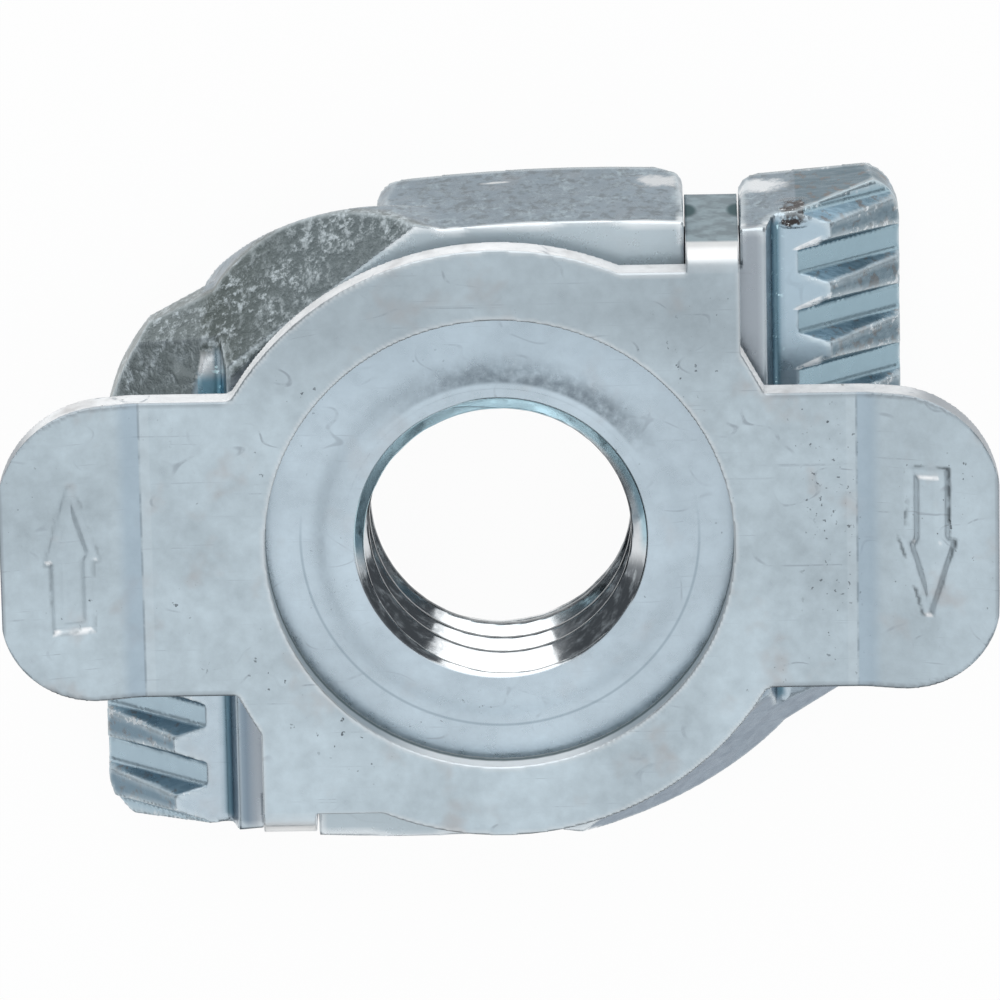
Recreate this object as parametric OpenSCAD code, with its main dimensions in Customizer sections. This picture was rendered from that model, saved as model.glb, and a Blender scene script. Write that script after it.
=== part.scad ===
// Dovetail nut for a slotted rail, made of two pieces.
// The nut body is a thick pressed steel block with a threaded hole and two toothed dovetail
// flanges. The wing plate is a bent sheet with two wings that lie on the outside of the rail's
// lips, and it is crimped to the body by two tabs. The nut lies on its rear face: the hole axis
// is Z, the wings run along X, and every form repeats after half a turn about the hole axis.

/* [Thread] */
// Minor diameter of the threaded hole
thread_minor_d = 8.7; // [8.3:0.02:8.8]
// Diameter of the lead-in chamfer at the front
lead_in_d = 9.7; // [9.2:0.1:10.4]
// Diameter of the countersink at the rear
rear_sink_d = 10.5; // [9.4:0.1:11.6]

/* [Body] */
// Height of the body from its rear face to the front of its side blocks
body_h = 5.3; // [4.8:0.05:6]
// Length of the body over the rims of both flanges
body_l = 26.8; // [26:0.1:28]
// Half the width of the body over its side blocks, at the front
side_y = 10.65; // [10.2:0.1:11.2]
// How far the side walls flare out towards the rear
side_flare = 0.35; // [0:0.05:0.6]
// Radius of the gently arched side walls, seen from the front
side_arch_r = 58; // [45:1:120]
// Distance from the hole axis to the end of a side block
block_end_x = 3.95; // [3.2:0.1:4.6]
// Radius of the upright edge at the end of a side block
block_edge_r = 0.9; // [0.3:0.1:1.2]
// Size of the rear corner that is pressed off a side block beside its tab
block_nip = 1; // [0.6:0.1:2.4]
// Size of the rear corner that is pressed off the flange beside its tab
end_nip = 0.7; // [0.4:0.1:1.4]
// Radius of the upright edges on both sides of a tab
notch_edge_r = 0.6; // [0.2:0.05:0.9]

/* [Seat and collar] */
// Diameter of the round pad that the plate lies on
pad_d = 18; // [16.6:0.1:19]
// Height of the pad above the side blocks
pad_h = 0.5; // [0.3:0.05:1]
// Outer diameter of the collar's flat top
collar_top_d = 10.6; // [10.4:0.1:11.4]
// Outer diameter of the collar's soft shoulder, at its foot
collar_foot_d = 13.2; // [12.4:0.1:14.2]
// Height of the collar above the pad
collar_h = 0.3; // [0.2:0.05:0.6]

/* [Dovetail flanges] */
// Distance from the hole axis to the neck's wall, at the front
neck_x = 8.9; // [8.6:0.05:9.1]
// How far the neck's wall leans out down to the ledge
neck_draft = 0.2; // [0:0.05:0.3]
// Radius of the hollow between neck and ledge
neck_hollow_r = 0.35; // [0.15:0.05:0.5]
// Height of the flat ledge that the rail's lip slides over
ledge_h = 4.05; // [3.6:0.05:4.3]
// Width of the flat ledge, from the neck's foot to the start of the slope
ledge_w = 1.95; // [1.6:0.05:2.4]
// Height of the flange's rim
rim_h = 1.6; // [1.2:0.05:2]
// Chamfer round the rear edge of the rim
rim_chamfer = 0.45; // [0.1:0.05:0.8]
// Distance from the hole axis to the flange's square end, at the neck's front
end_y = 10.35; // [10:0.05:10.8]
// Angle by which the flange's square end runs outwards to its rim
end_skew = 5; // [0:0.5:8]
// Radius of the upright edge at the square end of a flange
end_edge_r = 1.6; // [0.3:0.1:2]

/* [Teeth] */
// Distance between neighbouring teeth
tooth_pitch = 2.06; // [1.9:0.02:2.4]
// Number of grooves in each flange
tooth_count = 7; // [4:1:7]
// Width of a groove's flat floor
groove_floor_w = 0.78; // [0.6:0.02:1]
// How far each wall of a groove leans out, for each millimetre of depth
groove_wall_run = 0.55; // [0.35:0.05:0.7]
// Slope of the groove's floor, down to the rim
groove_slope = 40; // [36:1:44]
// How far the grooves start from the neck's foot
groove_start = 0.85; // [0.6:0.05:1.1]
// How far the last groove's middle lies outside the square end
groove_end_offset = 0.5; // [0.3:0.05:0.9]

/* [Leading corners] */
// Direction that the bevel faces, measured from +X
bevel_turn = 127; // [122:1:132]
// Distance from the hole axis to the bevel's front edge
bevel_d = 10; // [9.7:0.05:10.3]
// Lean of the bevel from the hole axis
bevel_lean = 34; // [30:1:38]
// Radius of the heel, the rounded flank of the body's middle
heel_r = 7.5; // [7.2:0.1:7.8]
// Middle of the heel's round, across the body
heel_y = 3.15; // [2.9:0.05:3.5]
// How far the heel's round runs on past the end of the side block
heel_lap = 0.55; // [0.2:0.05:0.8]
// Radius of the toe, the rounded end of the flange
toe_r = 10; // [9.4:0.1:10.6]
// Middle of the toe's round, across the body
toe_y = 0.7; // [0.4:0.1:1.6]
// Direction that the flat on the toe faces, measured from +X
toe_flat_turn = 118.5; // [114:0.5:124]
// Distance from the hole axis to the flat on the toe
toe_flat_d = 11.2; // [10.8:0.1:11.6]
// Height of the rear chamfer along the flat on the toe
toe_chamfer = 1.3; // [0.4:0.1:1.6]
// Height of the rear chamfer along the heel, where it meets the side block
heel_chamfer = 3; // [1.4:0.1:3.2]

// Direction that the sloped lead-in of the ledge faces, measured from +X
lead_turn = 165; // [160:1:170]
// Distance from the hole axis to the top of the ledge's lead-in
lead_d = 10.8; // [10.6:0.05:11.2]
// Lean of the ledge's lead-in from the hole axis
lead_lean = 56; // [50:1:62]

/* [Wing plate] */
// Thickness of the sheet
sheet_t = 1; // [0.8:0.05:1.2]
// Length of the plate over both wings
plate_l = 33; // [31.6:0.1:34]
// Diameter of the plate's round middle
disc_d = 20.3; // [19.8:0.1:20.8]
// Diameter of the large hole in the plate
plate_hole_d = 15.5; // [14.6:0.1:16.2]
// Width of a wing
wing_w = 10.2; // [9.4:0.1:11]
// Radius of a wing's corners
wing_corner_r = 3.4; // [1.5:0.1:3.8]
// Distance from the hole axis to the bend across a wing
wing_bend_x = 11.8; // [11.2:0.1:12.6]
// Angle by which the end of a wing is bent up
wing_lift = 15; // [6:1:18]
// Inner radius of the bend across a wing
wing_bend_r = 1.6; // [0.8:0.1:2.4]
// Radius of the fillet between the round middle and a wing
wing_fillet_r = 0.4; // [0.2:0.05:0.8]
// Distance from the hole axis to the straight edge of a square shoulder
shoulder_y = 9.3; // [9.1:0.05:9.6]
// Length of the slanted corner between a square shoulder and a wing, across the plate
shoulder_slant = 1.4; // [0.6:0.1:2]
// Length of the slanted corner along the plate
shoulder_slant_x = 0.77; // [0.4:0.01:1.2]

/* [Tabs] */
// Distance from the hole axis to the outer edge of a tab
tab_x = 8.03; // [7.8:0.01:8.1]
// Width of a tab
tab_w = 1.75; // [1.4:0.05:2]
// Outer radius of the bend at a tab's root
tab_bend_r = 0.85; // [0.6:0.05:0.95]
// Height of a tab's tip above the rear face
tip_h = 0.05; // [0.02:0.01:0.3]
// Angle by which the end of a tab is tucked in
tuck_turn = 20; // [10:1:22]
// Length of the end that is tucked in
tuck_l = 0.4; // [0.25:0.05:0.45]
// Gap between a tab and the walls of its notch
notch_gap = 0.05; // [0.02:0.01:0.12]

/* [Hidden] */
$fn = 180;
arc_steps = 6;
cut = 0.5;
reach = body_l;

pad_z = body_h + pad_h;
collar_z = pad_z + collar_h;
plate_z = pad_z + sheet_t;
rim_x = body_l / 2;
neck_foot_x = neck_x + neck_draft;
ledge_end_x = neck_foot_x + ledge_w;
arch_x = (tab_x - tab_w) / 2;
rear_y = side_y + side_flare;
heel_x = heel_lap - block_end_x;
toe_x = -rim_x + toe_r;
tab_out_y = shoulder_y + tab_bend_r;
tab_in_y = tab_out_y - sheet_t;
// A tab is tucked in at the height that leaves its tip just above the rear face
tuck_h = tip_h + tuck_l * cos(tuck_turn) + sheet_t * sin(tuck_turn);

// Points of an arc about c, from angle a to angle b
function arc(c, r, a, b) = [for (i = [0 : arc_steps])
    c + r * [cos(a + (b - a) * i / arc_steps), sin(a + (b - a) * i / arc_steps)]];

function mirrored(points) = [for (i = [len(points) - 1 : -1 : 0]) [-points[i].x, points[i].y]];

module half_turns() {
    for (turn = [0, 180])
        rotate([0, 0, turn])
            children();
}

// Carries a section drawn in X and Z along Y, over the whole width
module across(width) {
    rotate([90, 0, 0])
        linear_extrude(height = width, center = true)
            children();
}

// Carries a section drawn in Y and Z along X
module along(length) {
    rotate([90, 0, 90])
        linear_extrude(height = length)
            children();
}

// Section of the body: rim, slope, ledge, hollow and neck on either side
module dovetail_section() {
    hollow_c = [neck_foot_x + neck_hollow_r, ledge_h + neck_hollow_r];
    right = concat(
        [[rim_x - rim_chamfer, 0], [rim_x, rim_chamfer], [rim_x, rim_h], [ledge_end_x, ledge_h]],
        arc(hollow_c, neck_hollow_r, 270, 180),
        [[neck_x, body_h]]);
    polygon(concat(right, mirrored(right)));
}

// A corner between two upright walls, to be cut off to leave an edge of radius r
module upright_edge_waste(r) {
    difference() {
        translate([-r, -r, -cut])
            cube([reach, reach, body_h + 2 * cut]);
        translate([-r, -r, -2 * cut])
            cylinder(h = body_h + 4 * cut, r = r);
    }
}

// A rear corner of side wall, end wall and rear face, to be cut off at a slant
module rear_corner_waste(size) {
    rotate([0, 0, 45])
        translate([-size / sqrt(2), 0, 0])
            rotate([0, -45, 0])
                translate([0, -reach, -reach])
                    cube([reach, 2 * reach, reach]);
}

// Side block with its arched, flared wall, out to the notch's far side
module side_block() {
    difference() {
        intersection() {
            translate([arch_x, side_y - side_arch_r, 0])
                cylinder(h = body_h, r1 = side_arch_r + side_flare, r2 = side_arch_r, $fn = 720);
            translate([-block_end_x, 0, 0])
                cube([block_end_x + tab_x, rear_y, body_h]);
        }
        translate([-block_end_x, side_y, 0])
            mirror([1, 0, 0])
                upright_edge_waste(block_edge_r);
        translate([tab_x - tab_w - notch_gap, rear_y, 0]) {
            upright_edge_waste(notch_edge_r);
            rear_corner_waste(block_nip);
        }
    }
}

// Flange with its square end, which carries the teeth
module toothed_end() {
    end_rear_y = end_y + side_flare;
    difference() {
        cube([rim_x, rear_y + reach, body_h]);
        translate([neck_x, end_y, body_h])
            rotate([0, 0, end_skew])
                rotate([atan(side_flare / body_h), 0, 0])
                    translate([-reach, 0, -reach])
                        cube([2 * reach, 2 * reach, 2 * reach]);
        translate([rim_x, end_rear_y + (rim_x - neck_x) * tan(end_skew), 0])
            upright_edge_waste(end_edge_r);
        translate([tab_x + notch_gap, end_rear_y, 0])
            mirror([1, 0, 0]) {
                upright_edge_waste(notch_edge_r);
                rear_corner_waste(end_nip);
            }
    }
}

// Everything on the far side of an upright plane that faces turn, at distance d, which leans
// out by lean degrees below height z
module beyond_plane(turn, d, z, lean) {
    rotate([0, 0, turn])
        translate([d, 0, z])
            rotate([0, -lean, 0])
                translate([0, -reach, -reach])
                    cube([reach, 2 * reach, 2 * reach]);
}

// Heel: the rounded flank beside the block, chamfered at the rear up to the block
module heel() {
    difference() {
        intersection() {
            translate([heel_x, heel_y, 0])
                cylinder(h = body_h, r = heel_r);
            translate([-reach, 0, 0])
                cube([reach, reach, body_h]);
        }
        beyond_plane(90, side_y - heel_chamfer, 0, -45);
    }
}

// Toe: the rounded end of the flange, with a flat that is chamfered at the rear
module toe() {
    difference() {
        intersection() {
            translate([toe_x, toe_y, 0])
                cylinder(h = body_h, r = toe_r);
            translate([-rim_x, 0, 0])
                cube([rim_x - neck_x, reach, body_h]);
        }
        beyond_plane(toe_flat_turn, toe_flat_d, 0, 0);
        beyond_plane(toe_flat_turn, toe_flat_d - toe_chamfer, 0, -45);
    }
}

// Lead-in that slopes the ledge down towards the leading corner
module ledge_lead_in() {
    intersection() {
        beyond_plane(lead_turn, lead_d, ledge_h, lead_lean);
        translate([-neck_foot_x - reach, 0, 0])
            cube([reach, reach, body_h + cut]);
    }
}

// Notch in the side wall that takes a tab, with a pocket for its tucked end
module tab_notch() {
    floor_y = tab_in_y - notch_gap;
    pocket_y = floor_y - tuck_h * tan(tuck_turn);
    translate([tab_x - tab_w - notch_gap, 0, 0])
        along(tab_w + 2 * notch_gap)
            polygon([
                [pocket_y, 0], [floor_y, tuck_h], [floor_y, body_h + cut],
                [rear_y + reach, body_h + cut], [rear_y + reach, -cut], [pocket_y, -cut]]);
}

// Grooves that leave the teeth of one flange, cut down the slope from the square end
module tooth_grooves() {
    height = ledge_h;
    half_floor = groove_floor_w / 2;
    half_mouth = half_floor + groove_wall_run * height;
    for (i = [0 : tooth_count - 1])
        translate([neck_foot_x + groove_start, end_y + groove_end_offset - i * tooth_pitch, ledge_h])
            rotate([0, groove_slope, 0])
                along(reach / 2)
                    polygon([
                        [-half_floor, 0], [half_floor, 0], [half_mouth, height], [-half_mouth, height]]);
}

// Round pad, and the collar with its shoulder that rises in one soft wave
module pad_and_collar() {
    top_r = collar_top_d / 2;
    foot_r = collar_foot_d / 2;
    wave_steps = 4 * arc_steps;
    shoulder = [for (i = [0 : wave_steps])
        [foot_r + (top_r - foot_r) * i / wave_steps,
            pad_z + collar_h * (1 - cos(180 * i / wave_steps)) / 2]];
    rotate_extrude()
        polygon(concat([[0, body_h - cut], [pad_d / 2, body_h - cut], [pad_d / 2, pad_z]], shoulder,
            [[0, collar_z]]));
}

// Threaded hole with its lead-in and rear countersink at 45 degrees
module thread_hole() {
    minor_r = thread_minor_d / 2;
    lead_r = lead_in_d / 2;
    sink_r = rear_sink_d / 2;
    translate([0, 0, -cut])
        cylinder(h = collar_z + 2 * cut, d = thread_minor_d);
    translate([0, 0, collar_z - (lead_r - minor_r)])
        cylinder(h = lead_r - minor_r + cut, r1 = minor_r, r2 = lead_r + cut);
    translate([0, 0, -cut])
        cylinder(h = sink_r - minor_r + cut, r1 = sink_r + cut, r2 = minor_r);
}

module nut_body() {
    color([0.62, 0.67, 0.71])
        difference() {
            union() {
                intersection() {
                    across(2 * reach)
                        dovetail_section();
                    half_turns() {
                        side_block();
                        toothed_end();
                        heel();
                        toe();
                    }
                }
                pad_and_collar();
            }
            half_turns() {
                beyond_plane(bevel_turn, bevel_d, body_h, bevel_lean);
                ledge_lead_in();
                tab_notch();
                tooth_grooves();
            }
            thread_hole();
        }
}

// Section of the plate along the wings: flat in the middle, bent up towards both ends
module wing_section() {
    bend_c = [wing_bend_x, plate_z + wing_bend_r];
    outer_r = wing_bend_r + sheet_t;
    slope = [cos(wing_lift), sin(wing_lift)];
    rear_bend = arc(bend_c, outer_r, 270, 270 + wing_lift);
    rear_end = rear_bend[arc_steps];
    rear_tip = rear_end + slope * (plate_l / 2 - rear_end.x) / slope.x;
    front_tip = rear_tip + sheet_t * [-slope.y, slope.x];
    right = concat(rear_bend, [rear_tip, front_tip],
        arc(bend_c, wing_bend_r, 270 + wing_lift, 270));
    polygon(concat(right, mirrored(right)));
}

// Both wings seen from the front, with round corners
module wing_outline() {
    square([plate_l - 2 * wing_corner_r, wing_w], center = true);
    square([plate_l, wing_w - 2 * wing_corner_r], center = true);
    for (x = [-1, 1], y = [-1, 1])
        translate([x * (plate_l / 2 - wing_corner_r), y * (wing_w / 2 - wing_corner_r)])
            circle(r = wing_corner_r);
}

// Fillet between the round middle and the edge of a wing
module wing_fillet() {
    disc_r = disc_d / 2;
    fillet_y = wing_w / 2 + wing_fillet_r;
    fillet_x = sqrt(pow(disc_r + wing_fillet_r, 2) - pow(fillet_y, 2));
    touch = disc_r / (disc_r + wing_fillet_r);
    difference() {
        polygon([[-fillet_x * touch, fillet_y * touch], [-fillet_x, wing_w / 2],
            [-fillet_x * touch, wing_w / 2 - wing_fillet_r]]);
        translate([-fillet_x, fillet_y])
            circle(r = wing_fillet_r);
    }
}

// Square shoulder that carries a tab, with its slanted corner towards the wing
module square_shoulder() {
    wing_y = wing_w / 2;
    square([tab_x, shoulder_y]);
    polygon([[tab_x, 0], [tab_x + shoulder_slant_x, 0], [tab_x + shoulder_slant_x, wing_y],
        [tab_x, wing_y + shoulder_slant]]);
}

// Section of a tab: root, bend, leg and tucked end
module tab_section() {
    tuck = [-sin(tuck_turn), -cos(tuck_turn)];
    in_bend = [tab_in_y, tuck_h];
    out_bend = [tab_out_y, tuck_h - sheet_t * tan(tuck_turn / 2)];
    in_tip = in_bend + tuck_l * tuck;
    out_tip = in_tip + sheet_t * [cos(tuck_turn), -sin(tuck_turn)];
    polygon(concat(
        [[tab_in_y - sheet_t, pad_z], [tab_in_y, pad_z], in_bend, in_tip, out_tip, out_bend],
        arc([tab_out_y - tab_bend_r, plate_z - tab_bend_r], tab_bend_r, 0, 90),
        [[tab_in_y - sheet_t, plate_z]]));
}

module wing_plate() {
    color([0.7, 0.76, 0.8]) {
        intersection() {
            across(disc_d + 2 * reach)
                wing_section();
            linear_extrude(height = plate_z + plate_l)
                difference() {
                    union() {
                        circle(d = disc_d);
                        wing_outline();
                        half_turns() {
                            wing_fillet();
                            square_shoulder();
                        }
                    }
                    circle(d = plate_hole_d);
                }
        }
        half_turns()
            translate([tab_x - tab_w, 0, 0])
                along(tab_w)
                    tab_section();
    }
}

nut_body();
wing_plate();
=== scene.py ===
"""Dresses a zinc-plated dovetail nut: a pressed body with a threaded hole, and its crimped wing plate.

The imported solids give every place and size. Each piece is a finely gridded skin over its own solid:
the skin's edges are softened as pressing and plating soften them, the hole gets its thread, and the
wings get their turn signs, all worked out as whole arrays of points.
"""

from __future__ import annotations

import logging
import math
from dataclasses import dataclass, field
from enum import Enum

import bmesh
import bpy
import numpy as np
from mathutils import Matrix, Vector

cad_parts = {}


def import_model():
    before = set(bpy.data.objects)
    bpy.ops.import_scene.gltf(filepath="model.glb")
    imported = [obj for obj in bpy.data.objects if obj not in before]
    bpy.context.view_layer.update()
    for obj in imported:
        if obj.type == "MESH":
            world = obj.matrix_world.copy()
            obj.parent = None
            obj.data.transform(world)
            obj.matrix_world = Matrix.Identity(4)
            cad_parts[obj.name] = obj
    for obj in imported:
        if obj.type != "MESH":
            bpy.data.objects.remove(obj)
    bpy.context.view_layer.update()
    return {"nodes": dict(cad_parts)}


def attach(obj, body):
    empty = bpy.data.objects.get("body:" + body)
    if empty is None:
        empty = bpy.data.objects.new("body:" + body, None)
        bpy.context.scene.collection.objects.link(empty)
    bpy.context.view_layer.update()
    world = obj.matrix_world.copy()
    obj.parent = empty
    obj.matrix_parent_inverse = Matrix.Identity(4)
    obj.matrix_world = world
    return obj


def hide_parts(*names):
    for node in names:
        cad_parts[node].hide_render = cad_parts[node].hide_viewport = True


LOG = logging.getLogger("dovetail_nut")
MM = 0.001
MERGE_WAY = 1e-6
LEAST_DEPTH = 8
MOST_FILL = 0.95
MIX_A, MIX_B, MIX_RESULT = 6, 7, 2
PLATING_SHARES = ("Cloud", "Scratch", "Pit", "Stain", "Rough")
Colour = tuple[float, float, float]
Socket = bpy.types.NodeSocket
Share = Socket | float


class Wing(Enum):
    """The two wings of the plate, by the side of the hole that they lie on."""

    RIGHT = 1
    LEFT = -1


def smooth_step(values: np.ndarray, low: float, high: float) -> np.ndarray:
    """Rises from 0 at low to 1 at high along a cubic that is level at both ends.

    Args:
        values: numbers to map.
        low: where the rise starts.
        high: where the rise ends.

    Returns:
        The mapped numbers, 3t^2 - 2t^3 of the clipped share t of the way from low to high.
    """
    share = np.clip((values - low) / (high - low), 0.0, 1.0)
    return share * share * (3.0 - 2.0 * share)


def grid_mesh(name: str, rows: np.ndarray, closed: bool) -> bpy.types.Mesh:
    """Makes a mesh of quads from a grid of points.

    Args:
        name: name of the mesh.
        rows: points by row and column, with X, Y and Z last.
        closed: whether the last column joins the first.

    Returns:
        The mesh, whose faces look along the row direction crossed with the column direction,
        turned round.
    """
    down, across = rows.shape[:2]
    index = np.arange(down * across).reshape(down, across)
    if closed:
        index = np.concatenate([index, index[:, :1]], axis=1)
    corners = (index[:-1, :-1], index[:-1, 1:], index[1:, 1:], index[1:, :-1])
    faces = np.stack(corners, axis=-1).reshape(-1, 4)
    mesh = bpy.data.meshes.new(name)
    mesh.from_pydata(rows.reshape(-1, 3).tolist(), [], faces.tolist())
    mesh.shade_smooth()
    mesh.update()
    return mesh


class Piece:
    """A mesh piece whose points are worked on as whole arrays."""

    def __init__(self, name: str, mesh: bpy.types.Mesh) -> None:
        """Puts the mesh into the scene.

        Args:
            name: name of the piece.
            mesh: its mesh.
        """
        self.piece = bpy.data.objects.new(name, mesh)
        bpy.context.scene.collection.objects.link(self.piece)

    @property
    def points(self) -> np.ndarray:
        """The piece's points, one row each, in metres."""
        flat = np.empty(3 * len(self.piece.data.vertices), dtype=np.float64)
        self.piece.data.vertices.foreach_get("co", flat)
        return flat.reshape(-1, 3)

    @points.setter
    def points(self, rows: np.ndarray) -> None:
        """Puts the points back into the mesh."""
        self.piece.data.vertices.foreach_set("co", rows.astype(np.float32).ravel())
        self.piece.data.update()

    @property
    def normals(self) -> np.ndarray:
        """Outward unit normals at the points."""
        flat = np.empty(3 * len(self.piece.data.vertices), dtype=np.float32)
        self.piece.data.vertex_normals.foreach_get("vector", flat)
        return flat.reshape(-1, 3).astype(np.float64)

    def store(self, name: str, values: np.ndarray) -> None:
        """Stores one number for each point under a name that materials can read.

        Args:
            name: name of the attribute.
            values: one number for each point.
        """
        layer = self.piece.data.attributes.get(name)
        if layer is None:
            layer = self.piece.data.attributes.new(name, "FLOAT", "POINT")
        layer.data.foreach_set("value", values.astype(np.float32))

    def triangles(self) -> int:
        """Number of triangles in the piece."""
        self.piece.data.calc_loop_triangles()
        return len(self.piece.data.loop_triangles)

    def hand_over(self, node: str, slot: str, material: bpy.types.Material) -> None:
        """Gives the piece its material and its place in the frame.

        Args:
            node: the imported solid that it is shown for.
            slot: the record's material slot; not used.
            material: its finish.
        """
        self.piece.data.materials.append(material)
        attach(self.piece, "root")
        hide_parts(node)
        LOG.info("%s: %d triangles", self.piece.name, self.triangles())


class Skin(Piece):
    """A fine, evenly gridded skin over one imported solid."""

    def __init__(self, node: bpy.types.Object, name: str, grid: float) -> None:
        """Makes the skin.

        Args:
            node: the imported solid, which stays as it is.
            name: name of the new piece.
            grid: width of the skin's grid, in metres.
        """
        mesh = node.data.copy()
        mesh.name = name
        mesh.materials.clear()
        work = bmesh.new()
        work.from_mesh(mesh)
        bmesh.ops.remove_doubles(work, verts=work.verts, dist=MERGE_WAY)
        work.to_mesh(mesh)
        work.free()
        super().__init__(name, mesh)
        length = max(self.piece.dimensions)
        remesh = self.piece.modifiers.new("even_grid", "REMESH")
        remesh.mode = "SHARP"
        remesh.octree_depth = max(LEAST_DEPTH, math.ceil(math.log2(length / grid / MOST_FILL)))
        remesh.scale = length / grid / 2**remesh.octree_depth
        remesh.use_remove_disconnected = False
        graph = bpy.context.evaluated_depsgraph_get()
        skin = bpy.data.meshes.new_from_object(self.piece.evaluated_get(graph))
        self.piece.modifiers.clear()
        self.piece.data = skin
        skin.name = name
        skin.shade_smooth()
        self.grid = grid

    def neighbour_mean(self, rows: np.ndarray) -> np.ndarray:
        """Mean of each row over the neighbours along the grid's edges.

        Args:
            rows: one row of values for each point.

        Returns:
            Sum over neighbours divided by the number of neighbours, row by row.
        """
        ends = np.empty(2 * len(self.piece.data.edges), dtype=np.int32)
        self.piece.data.edges.foreach_get("vertices", ends)
        a, b = ends[0::2], ends[1::2]
        count = len(rows)
        near = np.bincount(a, minlength=count) + np.bincount(b, minlength=count)
        total = np.stack(
            [
                np.bincount(a, rows[b, k], count) + np.bincount(b, rows[a, k], count)
                for k in range(rows.shape[1])
            ],
            axis=1,
        )
        return total / np.maximum(near, 1)[:, None]

    def soften(self, rounds: int) -> None:
        """Rounds the edges over about two grid widths without shrinking the piece.

        Each round moves every point by 0.5 of the way to its neighbours' mean and then back by 0.52
        of the new way, so flats stay where they are.

        Args:
            rounds: number of there-and-back moves.
        """
        rows = self.points
        for _ in range(rounds):
            for share in (0.5, -0.52):
                rows = rows + share * (self.neighbour_mean(rows) - rows)
        self.points = rows

    def mark_edges(self) -> None:
        """Stores how sharply the skin bends out (edge) and in (hollow) as values from 0 to 1.

        The bend is the step from a point to its neighbours' mean along the normal, in grid widths,
        averaged twice over the neighbours.
        """
        rows = self.points
        step = self.neighbour_mean(rows) - rows
        bend = np.einsum("ij,ij->i", step, self.normals)[:, None] / self.grid
        for _ in range(2):
            bend = 0.5 * bend + 0.5 * self.neighbour_mean(bend)
        self.store("edge", smooth_step(-bend[:, 0], 0.015, 0.11))
        self.store("hollow", smooth_step(bend[:, 0], 0.015, 0.11))


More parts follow.
